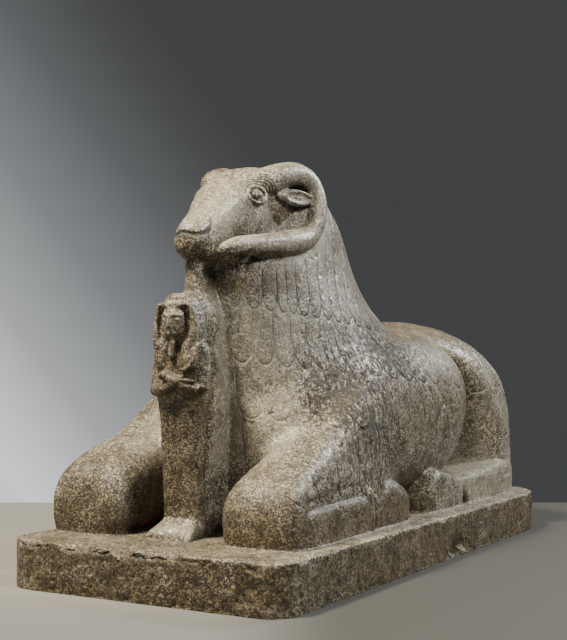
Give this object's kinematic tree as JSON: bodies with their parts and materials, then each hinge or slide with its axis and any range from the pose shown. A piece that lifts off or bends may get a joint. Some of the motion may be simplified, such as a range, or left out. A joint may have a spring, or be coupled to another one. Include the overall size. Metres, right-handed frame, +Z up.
{
  "type": "ram statue",
  "caption": "Recumbent ram carved in granite with its plinth, a small mummiform king standing between its forelegs; stands on its flat underside.",
  "frame": {"origin": "centre of the plinth's underside, at the middle of the bounding box", "axes": "+Z up; the ram faces -Y and its left side is +X"},
  "size_m": [0.976, 2.15, 1.3175],
  "materials": {
    "granite": "weathered grey-brown granite, smoothed, pitted on the left shoulder and flank"
  },
  "bodies": {
    "root": {"ram_statue": "granite"}
  },
  "joints": []
}
